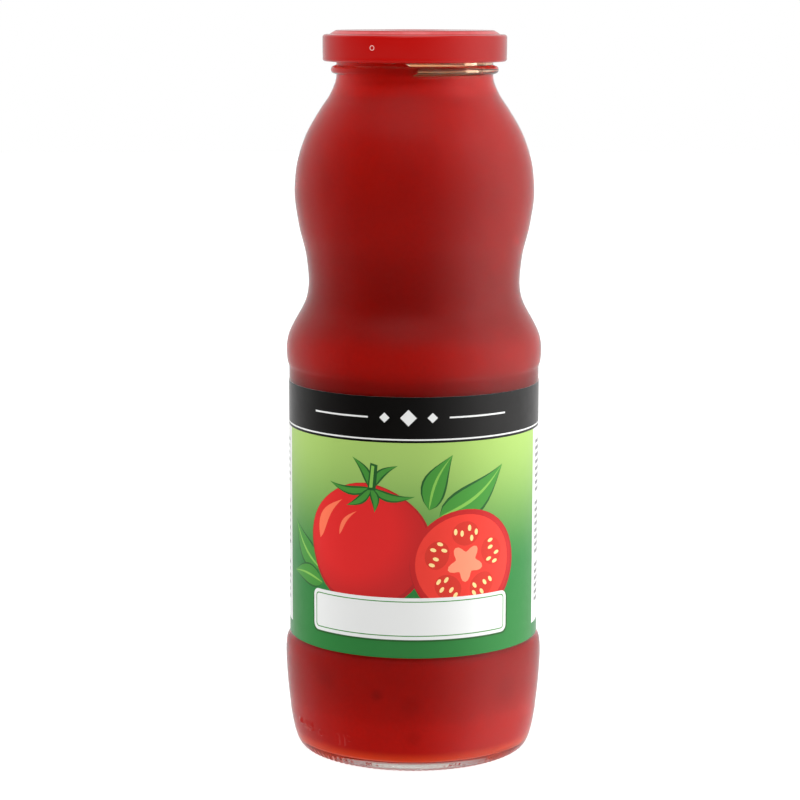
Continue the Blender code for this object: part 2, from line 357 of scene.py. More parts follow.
# Passata
passata = {
    "intoGlass": 0.00015,       # it reaches just into the wall, so that no gap shows
    "level": 0.2032,
    "cling": 0.0005,            # thickness of what clings to the neck above the level
    "highRim": 0.2069,          # how far it clings up the neck on the left
    "highSpan": ((-178.0, -150.0), (-12.0, 6.0)),     # azimuths over which it climbs there and falls back
    "ripples": ((5, 0.00025, 0.6), (11, 0.00016, 2.0)),   # of its rim: waves round the neck, height and phase
    "edge": (0.0030, 0.0064),   # heights over which the painted orange glow at the foot of the filling fades out
    "body": 0.0360,             # radius at which the smudges below sit
    "plain": 0.60,              # height on the curve below that leaves the colour as it is
    "paintedShadeByHeight": (               # painted light and shade by height: 0 is the table, 1 the level
        (0.0, 0.74), (0.053, 0.80), (0.084, 0.68), (0.13, 0.585), (0.17, 0.55), (0.556, 0.41),
        (0.577, 0.555), (0.598, 0.615), (0.642, 0.475), (0.70, 0.45), (0.775, 0.56), (0.84, 0.555),
        (0.905, 0.63), (0.962, 0.75), (0.989, 1.0), (1.0, 1.0),
    ),
    "azimuthStep": 1.5,
}

# faint darker smudges of thicker pulp against the glass: azimuth, height, near and far reach, darkest shade
smudges = (
    (-44.0, 0.0262, 0.0004, 0.0050, 0.86), (-17.0, 0.0236, 0.0002, 0.0026, 0.72),
    (47.0, 0.0226, 0.0010, 0.0060, 0.88), (-1.0, 0.0207, 0.0004, 0.0048, 0.86),
    (0.0, 0.0105, 0.0003, 0.0034, 0.84),
)


def rimHeight(angle):
    # the ring that the shaken passata left on the neck: high on the left, nearly level on the right
    degrees = np.degrees((angle + math.pi) % math.tau - math.pi)
    climbs, falls = passata["highSpan"]
    left = smoothStep(*climbs, degrees) * (1 - smoothStep(*falls, degrees))
    ripple = sum(size * np.sin(count * angle + phase) for count, size, phase in passata["ripples"])
    return passata["level"] + 0.0003 + ripple + (passata["highRim"] - passata["level"] - 0.0004) * left


mouth = bore + passata["intoGlass"]
level, cling = passata["level"], passata["cling"]
passataOutline = insideProfile(passata["intoGlass"])
wallCount = len(passataOutline)
passataOutline += [(mouth, z) for z in (0.2022, 0.2025, 0.2028, level)]
passataOutline += [(mouth - 0.0001, level + 0.0002), (mouth - cling * 0.6, level + 0.0002)]
passataOutline += [(mouth - inwards, level) for inwards in (cling, cling + 0.0002, 0.0016)]
passataOutline += [(0.0120, level), (0.0, level)]
# how much of the climb up the neck each point of the outline takes part in
climb = np.concatenate((np.zeros(wallCount), (0.25, 0.5, 0.75, 1.0, 1.0, 1.0, 0.9, 0.0, 0.0, 0.0, 0.0)))


def clingToNeck(radius, height, angle):
    return radius, height + climb[:, None] * (rimHeight(angle) - passata["level"])


sieved, tree, surface, place = newMaterial("passataSieved", {
    "Roughness": 0.42, "IOR": 1.16, "Subsurface Weight": 0.25, "Subsurface Scale": 0.0015,
    "Subsurface Radius": (1.0, 0.25, 0.12),
})
# sieved tomato, boiled down: an even, wet, dense red with faint cloudiness and specks of finer pulp
clouds = addNode(tree, "ShaderNodeTexNoise", {"Scale": 38.0, "Detail": 3.0}, {"Vector": place})    # 26 mm
pulp = addNode(tree, "ShaderNodeTexNoise", {"Scale": 900.0, "Detail": 2.0}, {"Vector": place})     # 1 mm
cloudy = addNode(tree, "ShaderNodeValToRGB", links={"Fac": clouds.outputs[0]})
cloudy.color_ramp.elements[0].position = 0.30
cloudy.color_ramp.elements[0].color = linearColour("#b5110a")
cloudy.color_ramp.elements[1].position = 0.72
cloudy.color_ramp.elements[1].color = linearColour("#c0140b")
speckled = addNode(tree, "ShaderNodeMapRange", {
    "From Min": 0.35, "From Max": 0.75,
    "To Min": 0.97 / passata["plain"], "To Max": 1.05 / passata["plain"],
}, {"Value": pulp.outputs[0]})
# painted light and shade by height: the filling is paler in the shoulder and the foot, and darker in the
# waist
upright = addNode(tree, "ShaderNodeSeparateXYZ", links={0: place}).outputs[2]
filled = addNode(tree, "ShaderNodeMapRange", {"From Max": passata["level"]}, {"Value": upright})
paintedHeightShade = addNode(tree, "ShaderNodeFloatCurve", links={"Value": filled.outputs[0]})
setCurve(paintedHeightShade, passata["paintedShadeByHeight"])
shade = addNode(tree, "ShaderNodeMath", {"operation": "MULTIPLY"},
                {0: paintedHeightShade.outputs[0], 1: speckled.outputs[0]})
for azimuth, z, near, far, dark in smudges:
    angle = math.radians(azimuth)
    spot = (passata["body"] * math.sin(angle), -passata["body"] * math.cos(angle), z)
    away = addNode(tree, "ShaderNodeVectorMath", {"operation": "DISTANCE", 1: spot}, {0: place})
    dimmed = addNode(tree, "ShaderNodeMapRange", {
        "interpolation_type": "SMOOTHSTEP", "From Min": near, "From Max": far, "To Min": dark, "To Max": 1.0,
    }, {"Value": away.outputs["Value"]})
    shade = addNode(tree, "ShaderNodeMath", {"operation": "MULTIPLY"},
                    {0: shade.outputs[0], 1: dimmed.outputs[0]})
tinted = addNode(tree, "ShaderNodeVectorMath", {"operation": "SCALE"},
                 {0: cloudy.outputs[0], "Scale": shade.outputs[0]})
# painted glow: the thin lower edge is painted bright orange, as if lit through from the table
edge = addNode(tree, "ShaderNodeMapRange", {
    "interpolation_type": "SMOOTHSTEP", "From Min": passata["edge"][0], "From Max": passata["edge"][1],
    "To Min": 1.0, "To Max": 0.0,
}, {"Value": upright})
paintedFootGlow = addNode(tree, "ShaderNodeMix", {"data_type": "RGBA", 7: linearColour("#f0481c")},
                  {0: edge.outputs[0], 6: tinted.outputs[0]})
tree.links.new(paintedFootGlow.outputs[2], surface.inputs["Base Color"])

passataAzimuths = np.arange(-180.0, 180.0, passata["azimuthStep"])
passataPiece = turnedPiece("passataFilling", passataOutline, passataAzimuths, [sieved], clingToNeck)
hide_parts("passata")

# What clings to the neck above the level, thin enough for light to come through
film = {
    "thick": 0.0003, "foot": 0.2018, "rim": 0.2128,
    "span": (-4.0, 200.0), "step": 3.0,     # azimuths
}

thinFilm, tree, surface, place = newMaterial("passataFilm", {
    "Base Color": linearColour("#ffd2b5"), "Roughness": 0.18, "IOR": 1.04, "Transmission Weight": 0.94,
})
# a smear of passata drained thin on glass: orange, wet, uneven, and see-through
smear = addNode(tree, "ShaderNodeTexNoise", {"Scale": 260.0, "Detail": 3.0}, {"Vector": place})    # 4 mm
drained = addNode(tree, "ShaderNodeValToRGB", links={"Fac": smear.outputs[0]})
drained.color_ramp.elements[0].position = 0.35
drained.color_ramp.elements[0].color = linearColour("#ffc6a2")
drained.color_ramp.elements[1].position = 0.70
drained.color_ramp.elements[1].color = linearColour("#ffdcc6")
tree.links.new(drained.outputs[0], surface.inputs["Base Color"])

filmVerts, filmFaces = [], []
filmAngles = np.radians(np.arange(film["span"][0], film["span"][1] + 0.1, film["step"]))
filmOuter, filmInner = mouth + 0.00001, mouth - film["thick"]
filmRings = [
    (filmOuter, film["foot"]), (filmOuter, film["rim"]), (filmInner, film["rim"]), (filmInner, film["foot"]),
]
for angle in filmAngles:
    filmVerts += [(r * math.sin(angle), -r * math.cos(angle), z) for r, z in filmRings]
for i in range(len(filmAngles) - 1):
    for j in range(4):
        a, b = 4 * i + j, 4 * i + (j + 1) % 4
        filmFaces.append((a, a + 4, b + 4, b))
filmFaces += [(0, 1, 2, 3), tuple(4 * (len(filmAngles) - 1) + j for j in (3, 2, 1, 0))]
filmPiece = linkObject("passataFilm", solidMesh("passataFilm", filmVerts, filmFaces, [thinFilm], sharp=40.0))
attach(filmPiece, "root")
print("made passataFilm", len(filmFaces), "faces")

# Lid
lid = {
    "radius": 0.02725, "top": 0.2160, "bottom": 0.2069, "sheet": 0.0003,
    "panel": 0.0235, "slope": 0.0016, "shoulderDrop": 0.0012,   # raised panel, and the slope round it
    "slopeRoundings": (0.0010, 0.0009),                         # at the slope's top and foot
    "corner": 0.0009, "curl": 0.00080,                          # roundings at the top and foot of the skirt
    "button": 0.0105, "buttonSlope": 0.0014, "buttonDrop": 0.0006,
    "azimuthStep": 1.5,
}


def lidOutside():
    top, shoulder = lid["top"], lid["top"] - lid["shoulderDrop"]
    points = [(0.0, top - lid["buttonDrop"] - 0.0001), (0.0050, top - lid["buttonDrop"])]
    for t in np.linspace(0, 1, 7):
        drop = lid["buttonDrop"] * (1 - smoothStep(0, 1, t))
        points.append((lid["button"] - lid["buttonSlope"] + lid["buttonSlope"] * t, top - drop))
    points += [(0.0150, top), (0.0200, top)]
    above, below = lid["slopeRoundings"]
    points += arcPoints(lid["panel"] - 0.0004, top - above, above, 88, 45, 6)
    points += arcPoints(lid["panel"] + lid["slope"] + 0.0004, shoulder + below, below, 225, 268, 6)
    points += [(lid["radius"] - lid["corner"] - 0.0002, shoulder)]
    points += arcPoints(lid["radius"] - lid["corner"], shoulder - lid["corner"], lid["corner"], 80, 0, 7)
    points += [(lid["radius"], 0.2110), (lid["radius"] - 0.00002, 0.2092), (lid["radius"] - 0.00006, 0.2084)]
    curlHeight = lid["bottom"] + lid["curl"]
    points += arcPoints(lid["radius"] - lid["curl"] - 0.00002, curlHeight, lid["curl"], 20, -200, 16)
    return points


def lidInside():
    top, shoulder = lid["top"] - lid["sheet"], lid["top"] - lid["shoulderDrop"] - lid["sheet"]
    inner = lid["radius"] - lid["sheet"] * 1.6
    points = [(inner, 0.2094), (inner, shoulder - 0.0010), (inner - 0.0008, shoulder)]
    points += [(lid["panel"] + lid["slope"] - 0.0002, shoulder), (lid["panel"] - 0.0002, top)]
    points += [(lid["button"], top), (lid["button"] - lid["buttonSlope"], top - lid["buttonDrop"])]
    return points + [(0.0, top - lid["buttonDrop"] - 0.0001)]


enamel, tree, surface, place = newMaterial("redEnamelledTinplate", {
    "Base Color": linearColour("#ae0c08"), "Roughness": 0.30, "IOR": 1.30,
    "Coat Weight": 0.8, "Coat Roughness": 0.08, "Coat IOR": 1.5,
})
# roller-coated and stoved enamel on tinplate: even hot red, glossy, with a fine orange peel
peel = addNode(tree, "ShaderNodeTexNoise", {"Scale": 1400.0, "Detail": 1.0}, {"Vector": place})    # 0.7 mm
peelBump = addNode(tree, "ShaderNodeBump", {"Strength": 0.05, "Distance": 0.00004},
                   {"Height": peel.outputs[0]})
tree.links.new(peelBump.outputs[0], surface.inputs["Normal"])
handled = addNode(tree, "ShaderNodeTexNoise", {"Scale": 160.0, "Detail": 4.0}, {"Vector": place})  # 6 mm
dulled = addNode(tree, "ShaderNodeMapRange", {
    "From Min": 0.35, "From Max": 0.75, "To Min": 0.28, "To Max": 0.34,
}, {"Value": handled.outputs[0]})
tree.links.new(dulled.outputs[0], surface.inputs["Roughness"])

slopeEnamelWornAndHighlit, tree, surface, place = newMaterial("rubbedRedEnamelAndHighlight", {
    "Base Color": linearColour("#cc4e50"), "Roughness": 0.38, "IOR": 1.40,
    "Coat Weight": 0.6, "Coat Roughness": 0.15, "Coat IOR": 1.5,
})
# the same enamel round the raised panel's edge, paler and duller: partly rubbed where lids rub on their
# neighbours, partly a painted highlight of the bright panel overhead
rubAndSheenNoise = addNode(tree, "ShaderNodeTexNoise", {"Scale": 420.0, "Detail": 3.0}, {"Vector": place})     # 2.5 mm
wornAndHighlight = addNode(tree, "ShaderNodeValToRGB", links={"Fac": rubAndSheenNoise.outputs[0]})
wornAndHighlight.color_ramp.elements[0].position = 0.30
wornAndHighlight.color_ramp.elements[0].color = linearColour("#c84446")
wornAndHighlight.color_ramp.elements[1].position = 0.75
wornAndHighlight.color_ramp.elements[1].color = linearColour("#d25c5e")
tree.links.new(wornAndHighlight.outputs[0], surface.inputs["Base Color"])

lacquer, tree, surface, place = newMaterial("whiteFoodLacquer", {
    "Base Color": linearColour("#e6e0d4"), "Roughness": 0.35, "IOR": 1.5,
})
# white food lacquer baked on the inside of the tinplate: pale and half-gloss, faintly streaked by the roller
streaks = addNode(tree, "ShaderNodeTexNoise", {"Scale": 300.0, "Detail": 2.0}, {"Vector": place})  # 3 mm
shine = addNode(tree, "ShaderNodeMapRange", {"To Min": 0.28, "To Max": 0.42}, {"Value": streaks.outputs[0]})
tree.links.new(shine.outputs[0], surface.inputs["Roughness"])

lidOutline = lidOutside()
outsideCount = len(lidOutline)
lidOutline += lidInside()
slopeMiddle = lid["panel"] + lid["slope"] / 2
slopeRow = next(i for i, point in enumerate(lidOutline) if point[0] > slopeMiddle) - 1


def lidSlot(i):
    # lacquer from inside the curl onwards, rubbed enamel with a painted highlight on the slope, plain enamel
    # elsewhere
    if i >= outsideCount - 3:
        return 1
    return 2 if i == slopeRow else 0


lidAzimuths = np.arange(-180.0, 180.0, lid["azimuthStep"])
lidMaterials = [enamel, lacquer, slopeEnamelWornAndHighlit]
lidPiece = turnedPiece("twistOffLid", lidOutline, lidAzimuths, lidMaterials, slotOf=lidSlot)
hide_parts("cap")

# A small printed ring on the lid's skirt
ringMark = {
    "azimuth": -27.0, "height": 0.2112, "outer": 0.00074, "inner": 0.00054,
    "proud": 0.00003,       # how far it stands out of the skirt, and reaches into it
    "steps": 28,
}

markInk, tree, surface, place = newMaterial("whiteMarkInk", {
    "Base Color": linearColour("#f0dcd8"), "Roughness": 0.45, "IOR": 1.5,
})
# screen-printed white over the red enamel, which shows through a little where the ink is thin
thin = addNode(tree, "ShaderNodeTexNoise", {"Scale": 2500.0, "Detail": 1.0}, {"Vector": place})    # 0.4 mm
inkShade = addNode(tree, "ShaderNodeValToRGB", links={"Fac": thin.outputs[0]})
inkShade.color_ramp.elements[0].color = linearColour("#d89690")
inkShade.color_ramp.elements[1].color = linearColour("#efc2bc")
tree.links.new(inkShade.outputs[0], surface.inputs["Base Color"])

ringVerts, ringFaces = [], []
for i in range(ringMark["steps"]):
    turn = math.tau * i / ringMark["steps"]
    for size in (ringMark["outer"], ringMark["inner"]):
        angle = math.radians(ringMark["azimuth"]) + size * math.cos(turn) / lid["radius"]
        z = ringMark["height"] + size * math.sin(turn)
        for radius in (lid["radius"] + ringMark["proud"], lid["radius"] - ringMark["proud"]):
            ringVerts.append((radius * math.sin(angle), -radius * math.cos(angle), z))
    here, there = 4 * i, 4 * ((i + 1) % ringMark["steps"])
    ringFaces += [(here, there, there + 2, here + 2), (here + 1, here + 3, there + 3, there + 1),
                  (here, here + 1, there + 1, there), (here + 2, there + 2, there + 3, here + 3)]
ringPiece = linkObject("lidRingMark", solidMesh("lidRingMark", ringVerts, ringFaces, [markInk]))
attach(ringPiece, "root")
print("made lidRingMark", len(ringFaces), "faces")

# Paper label, printed flat in mm and wrapped: u runs round from the middle of the front, v up from its foot
label = {
    "azimuth": -2.65, "radius": 0.03762, "foot": 0.0353,        # where the sheet lies on the bottle
    "height": 77.0, "halfLength": 118.2, "overlap": 4.0,        # the sheet laid flat
    "paper": 0.00009,                                           # its thickness in metres
    "front": (47.9, 64.0),                                      # half width and height of the green front
    "strip": 4.4,                                               # height of the green strip round the foot
    "bandFoot": 63.7, "bandLine": (64.4, 64.85), "bandMiddle": 71.0,
    "columns": 1.64,                                            # the bend is cut into strips of this width
}

# Ink colours; "fade" blends to a second one, by height or by distance from a point (u, v), from near to far
inks = {
    "paperWhite": {"colour": "#d9dad9"},
    "inkBlack": {"colour": "#0c0a09"},
    "inkLeafGreen": {"colour": "#1f7830", "fade": ("#9abb5c", "height", 24.0, 66.0)},
    "inkDeepGreen": {"colour": "#167334"},
    "inkTomatoRed": {"colour": "#d40201", "fade": ("#b80202", "distance", (-17.0, 37.0), 11.0, 23.0)},
    "inkTomatoShade": {"colour": "#a40203"},
    "inkTomatoLight": {"colour": "#ee6a45"},
    "inkFlesh": {"colour": "#de2c1c"},
    "inkFleshPale": {"colour": "#ef8a68"},
    "inkJelly": {"colour": "#c9240f"},
    "inkSeed": {"colour": "#efd08a"},
    "inkLeafDark": {"colour": "#1c5a20"},
    "inkLeafMid": {"colour": "#3b8a2b"},
    "inkLeafLight": {"colour": "#79b345"},
    "inkGrey": {"colour": "#6f706f"},
}


def inkMaterial(name, ink):
    material, tree, surface, place = newMaterial(name, {
        "Base Color": linearColour(ink["colour"]), "Roughness": 0.5, "IOR": 1.45,
        "Coat Weight": 0.7, "Coat Roughness": 0.14, "Coat IOR": 1.45,
    })
    # offset-printed ink on clay-coated label paper under a varnish: smooth, half-gloss, faintly uneven
    fibres = addNode(tree, "ShaderNodeTexNoise", {"Scale": 1600.0, "Detail": 3.0},
                     {"Vector": place})     # 0.6 mm
    felt = addNode(tree, "ShaderNodeBump", {"Strength": 0.10, "Distance": 0.00005},
                   {"Height": fibres.outputs[0]})
    tree.links.new(felt.outputs[0], surface.inputs["Normal"])
    cast = addNode(tree, "ShaderNodeTexNoise", {"Scale": 260.0, "Detail": 2.0}, {"Vector": place})     # 4 mm
    gloss = addNode(tree, "ShaderNodeMapRange", {"To Min": 0.42, "To Max": 0.58}, {"Value": cast.outputs[0]})
    tree.links.new(gloss.outputs[0], surface.inputs["Roughness"])
    if "fade" in ink:
        other, kind, *how = ink["fade"]
        if kind == "height":
            parts = addNode(tree, "ShaderNodeSeparateXYZ", links={0: place})
            measure = parts.outputs[2]
            low, high = [label["foot"] + v / 1000 for v in how]
        else:
            (u, v), low, high = how[0], how[1] / 1000, how[2] / 1000
            away = addNode(tree, "ShaderNodeVectorMath", {"operation": "DISTANCE", 1: wrapped(u, v)},
                           {0: place})
            measure = away.outputs["Value"]
        blend = addNode(tree, "ShaderNodeMapRange", {
            "interpolation_type": "SMOOTHSTEP", "From Min": low, "From Max": high,
        }, {"Value": measure})
        mixed = addNode(tree, "ShaderNodeMix", {
            "data_type": "RGBA", 6: linearColour(ink["colour"]), 7: linearColour(other),
        }, {0: blend.outputs[0]})
        tree.links.new(mixed.outputs[2], surface.inputs["Base Color"])
    return material


def wrapped(u, v, depth=0.0):
    # a place on the wrapped sheet; its far end rides up over its start
    lift = 1.5 * label["paper"] * float(smoothStep(-2.0, 2.0, u - label["halfLength"] + 1.0))
    radius = label["radius"] + lift - depth
    angle = math.radians(label["azimuth"]) + u / 1000 / label["radius"]
    return (radius * math.sin(angle), -radius * math.cos(angle), label["foot"] + v / 1000)


drawing = []      # (ink, outline) from the bottom layer to the top one


def draw(ink, points):
    area = sum(a[0] * b[1] - b[0] * a[1] for a, b in zip(points, points[1:] + points[:1]))
    drawing.append((ink, points if area > 0 else points[::-1]))


def oblong(left, foot, right, top, corner=0.0):
    if corner == 0.0:
        return [(left, foot), (right, foot), (right, top), (left, top)]
    points = []
    for cu, cv, start in ((right - corner, top - corner, 0), (left + corner, top - corner, 90),
                          (left + corner, foot + corner, 180), (right - corner, foot + corner, 270)):
        points += arcPoints(cu, cv, corner, start, start + 90, 5)
    return points


def roundShape(cu, cv, width, height, turn=0.0, count=32, lobes=0, depth=0.0):
    points = []
    for i in range(count):
        a = math.tau * i / count
        swell = 1 + depth * math.cos(lobes * (a - math.pi / 2))
        x, y = width * swell * math.cos(a), height * swell * math.sin(a)
        t = math.radians(turn)
        points.append((cu + x * math.cos(t) - y * math.sin(t), cv + x * math.sin(t) + y * math.cos(t)))
    return points


def leafShape(start, tip, width, bend=0.0, steps=10):
    # a pointed leaf from its stalk to its tip, bent sideways by so many mm
    (su, sv), (tu, tv) = start, tip
    length = math.hypot(tu - su, tv - sv)
    du, dv = (tu - su) / length, (tv - sv) / length
    right, left = [], []
    for i in range(steps + 1):
        t = i / steps
        half = width / 2 * math.sin(math.pi * t ** 0.75) * (1 - 0.25 * t)
        sway = bend * math.sin(math.pi * t)
        cu, cv = su + du * length * t - dv * sway, sv + dv * length * t + du * sway
        right.append((cu + dv * half, cv - du * half))
        if 0 < i < steps:
            left.append((cu - dv * half, cv + du * half))
    return right + left[::-1]


sheetStart, sheetEnd = -label["halfLength"], label["halfLength"] + label["overlap"]
frontHalf, frontTop = label["front"]
lineFoot, lineTop = label["bandLine"]
draw("paperWhite", oblong(sheetStart, 0.0, sheetEnd, label["height"]))
draw("inkDeepGreen", oblong(sheetStart, 0.0, sheetEnd, label["strip"]))
draw("inkLeafGreen", oblong(-frontHalf, 0.0, frontHalf, frontTop))
draw("inkBlack", oblong(sheetStart, label["bandFoot"], sheetEnd, label["height"]))
draw("paperWhite", oblong(sheetStart, lineFoot, sheetEnd, lineTop))

# three plain lozenges with rules beside them stand on the black band
bandMiddle = label["bandMiddle"]
for middle, size in ((-7.0, 1.5), (0.0, 2.4), (7.0, 1.5)):
    draw("paperWhite", [(middle - size, bandMiddle), (middle, bandMiddle - size),
                        (middle + size, bandMiddle), (middle, bandMiddle + size)])
for left, right in ((-31, -12), (12, 31)):
    draw("paperWhite", oblong(left, bandMiddle - 0.25, right, bandMiddle + 0.25))

# basil behind the fruit
for start, tip, width, bend in (((9, 42), (30, 56), 11, -2.0), ((6, 44), (13, 60), 8.5, 1.5),
                                ((-29, 24), (-43, 37), 9, 1.5), ((-28, 20), (-44, 21), 7.5, -1.2)):
    draw("inkLeafDark", leafShape(start, tip, width, bend))
    draw("inkLeafMid", leafShape(start, tip, width * 0.84, bend))
    draw("inkLeafLight", leafShape(start, tip, width * 0.10, bend))

# a whole tomato, its light and its calyx
draw("inkTomatoShade", roundShape(-13, 33, 19.6, 18.4, lobes=5, depth=0.012, count=48))
draw("inkTomatoRed", roundShape(-13.3, 33.5, 19.0, 17.7, lobes=5, depth=0.012, count=48))
draw("inkTomatoLight", leafShape((-29.0, 33.5), (-20.5, 46.0), 3.6, 2.2))
draw("inkTomatoLight", leafShape((-21.5, 35.5), (-15.5, 43.0), 1.5, 1.2))
stalk = (-11, 50)
for tip, bend in (((-25, 51), 1.5), ((-17, 59), -1.2), ((-3, 57), 1.4),
                  ((2, 48), -1.6), ((-10, 43), 0.8), ((-19, 44.5), 1.0)):
    draw("inkLeafDark", leafShape(stalk, tip, 3.1, bend, 8))
    draw("inkLeafMid", leafShape(stalk, tip, 1.9, bend, 8))
draw("inkLeafDark", [(-12.2, 49.5), (-9.6, 49.5), (-9.0, 57.0), (-11.2, 57.6)])
draw("inkLeafLight", [(-11.6, 50.3), (-10.6, 50.3), (-10.0, 56.6), (-10.9, 56.8)])

# half of a cut one, with five chambers of seeds round its middle
cutU, cutV = 17.2, 27.9
draw("inkTomatoShade", roundShape(17.5, 27.5, 17.1, 16.3, count=44))
draw("inkTomatoRed", roundShape(cutU, cutV, 16.7, 15.9, count=44))
draw("inkFlesh", roundShape(cutU, cutV, 15.2, 14.4, count=44))
for turn in range(18, 378, 72):
    a = math.radians(turn)
    draw("inkJelly", roundShape(cutU + 9.2 * math.cos(a), cutV + 8.7 * math.sin(a), 4.3, 3.6, turn + 90, 22))
    for out, aside in ((7.6, -1.9), (9.2, 1.2), (10.8, -1.2), (9.4, -3.4), (9.8, 3.2)):
        su = cutU + out * math.cos(a) - aside * math.sin(a)
        sv = cutV + out * 0.95 * math.sin(a) + aside * math.cos(a)
        draw("inkSeed", roundShape(su, sv, 0.95, 0.55, turn, 10))
draw("inkFleshPale", roundShape(cutU, cutV, 4.6, 4.4, count=40, lobes=5, depth=0.28, turn=36))

# a blank plate across the foot of the front, with a fine line inside its edge
draw("inkLeafDark", oblong(-32.4, 4.9, 32.6, 17.7, 2.2))
draw("paperWhite", oblong(-32.0, 5.5, 32.0, 18.0, 2.0))
draw("inkLeafMid", oblong(-31.0, 6.5, 31.0, 17.0, 1.2))
draw("paperWhite", oblong(-30.7, 6.8, 30.7, 16.7, 1.0))

# the sides and the back: rows of grey bars in place of small print, a ruled table and a block of upright bars
barPitch = 2.1
for left, right, foot, top in ((-76, -50.5, 9, 61), (50.5, 76, 9, 61), (-110, -80, 34, 61), (80, 110, 9, 32)):
    for row in range(int((top - foot) / barPitch)):
        short = (row * 7) % 5
        gap = left + 4.5 + (row * 11) % 13
        v = top - (row + 1) * barPitch
        if row % 9 == 8:
            continue
        draw("inkGrey", oblong(left, v, gap, v + 1.05))
        draw("inkGrey", oblong(gap + 1.0, v, right - short * (1.8 if row % 9 == 7 else 0.25), v + 1.05))
for row in range(7):
    draw("inkGrey", oblong(-110, 9.0 + row * 3.4, -80, 9.3 + row * 3.4))
    if row < 6:
        draw("inkGrey", oblong(-109, 10.1 + row * 3.4, -96 - (row * 5) % 4, 11.2 + row * 3.4))
        draw("inkGrey", oblong(-86.5, 10.1 + row * 3.4, -81, 11.2 + row * 3.4))
u = 82.0
for i in range(26):
    wide = 0.33 * (1 + (i * i + 3 * i) % 3)
    draw("inkBlack", oblong(u, 37.0, u + wide, 58.0))
    u += wide + 0.33 * (1 + (i * 5 + 1) % 3)

points, edges, faces = [], [], []
for ink, outline in drawing:
    faces.append(list(range(len(points), len(points) + len(outline))))
    points += outline
sheetLength = 2 * label["halfLength"] + label["overlap"]
columns = int(sheetLength / label["columns"])
for i in range(1, columns):
    u = sheetStart + sheetLength * i / columns
    edges.append((len(points), len(points) + 1))
    points += [(u, 0.0), (u, label["height"])]
flatPoints, _, flatFaces, _, _, owners = delaunay_2d_cdt([tuple(p) for p in points], edges, faces, 0, 0.0005)
inkNames = list(inks)
paperSlot = inkNames.index("paperWhite")
count = len(flatPoints)
sheetVerts = [wrapped(*p) for p in flatPoints] + [wrapped(*p, label["paper"]) for p in flatPoints]
sheetFaces, sheetSlots, turnedEdges = [], [], {}
for face, owner in zip(flatFaces, owners):
    face = list(face)
    if sum(flatPoints[a][0] * flatPoints[b][1] - flatPoints[b][0] * flatPoints[a][1]
           for a, b in zip(face, face[1:] + face[:1])) < 0:
        face = face[::-1]
    sheetFaces.append(face)
    sheetSlots.append(inkNames.index(drawing[max(owner)][0]) if owner else paperSlot)
    for a, b in zip(face, face[1:] + face[:1]):
        turnedEdges[(a, b)] = True
outerCount = len(sheetFaces)
for face in sheetFaces[:outerCount]:
    sheetFaces.append([v + count for v in face[::-1]])
    sheetSlots.append(paperSlot)
for a, b in turnedEdges:
    if (b, a) not in turnedEdges:
        sheetFaces.append([b, a, a + count, b + count])
        sheetSlots.append(paperSlot)
labelMesh = bpy.data.meshes.new("paperLabel")
labelMesh.from_pydata(sheetVerts, [], sheetFaces)
labelMesh.polygons.foreach_set("material_index", sheetSlots)
labelMesh.shade_smooth()
cornerNormals = []
for i, polygon in enumerate(labelMesh.polygons):
    for vertex in polygon.vertices:
        x, y, _ = sheetVerts[vertex]
        reach = math.hypot(x, y) * (1 if i < outerCount else -1)
        cornerNormals.append((x / reach, y / reach, 0.0) if i < 2 * outerCount else tuple(polygon.normal))
labelMesh.normals_split_custom_set(cornerNormals)
for name in inkNames:
    labelMesh.materials.append(inkMaterial(name, inks[name]))
labelPiece = linkObject("paperLabel", labelMesh)
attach(labelPiece, "root")
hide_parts("label")
print("made paperLabel", len(labelMesh.polygons), "faces")

# Floor and light: a pale floor in a studio that is bright on the right and behind, and dim on the left
floorSettings = {
    "radius": 3.0, "colour": "#969694", "below": 0.0002,
    "glow": (0.92, 1.05), "glowFrom": (0.25, 1.20),     # how strongly it glows at these two distances
}

floorMaterial, tree, surface, place = newMaterial("paleFloor", {
    "Base Color": linearColour(floorSettings["colour"]), "Roughness": 0.9,
    "Emission Color": (1.0, 1.0, 1.0, 1.0),
})
# matt pale card; it glows, a little more far out, where the lamps don't reach
outwards = addNode(tree, "ShaderNodeVectorMath", {"operation": "LENGTH"}, {0: place})
glow = addNode(tree, "ShaderNodeMapRange", {
    "From Min": floorSettings["glowFrom"][0], "From Max": floorSettings["glowFrom"][1],
    "To Min": floorSettings["glow"][0], "To Max": floorSettings["glow"][1],
}, {"Value": outwards.outputs["Value"]})
tree.links.new(glow.outputs[0], surface.inputs["Emission Strength"])
floorMesh = bpy.data.meshes.new("floor")
floorRadius, floorHeight = floorSettings["radius"], -floorSettings["below"]
ring = [(floorRadius * math.cos(a), floorRadius * math.sin(a), floorHeight)
        for a in np.linspace(0, math.tau, 64, endpoint=False)]
floorMesh.from_pydata(ring, [], [list(range(len(ring)))])
floorMesh.materials.append(floorMaterial)
floorObject = linkObject("floor", floorMesh)
floorObject.visible_glossy = False

studio = {
    "rightSide": ((0.0, 0.02), (0.062, 0.17), (0.165, 0.40), (0.29, 0.66), (0.405, 0.78), (0.535, 0.75),
                  (0.75, 0.64), (1.0, 0.70)),
    "leftSide": ((0.0, 0.0), (0.25, 0.01), (0.36, 0.06), (0.535, 0.14), (0.69, 0.29), (0.795, 0.38),
                 (0.905, 0.52), (1.0, 0.70)),
    "blend": 0.12,                                  # how near the middle the two sides begin to blend
    "ceiling": 0.20, "ceilingFrom": (0.55, 0.95),   # its light, and how steeply up it begins and is full
    "panel": 1.5, "panelFrom": (0.93, 0.97),        # the same for the panel straight overhead
}

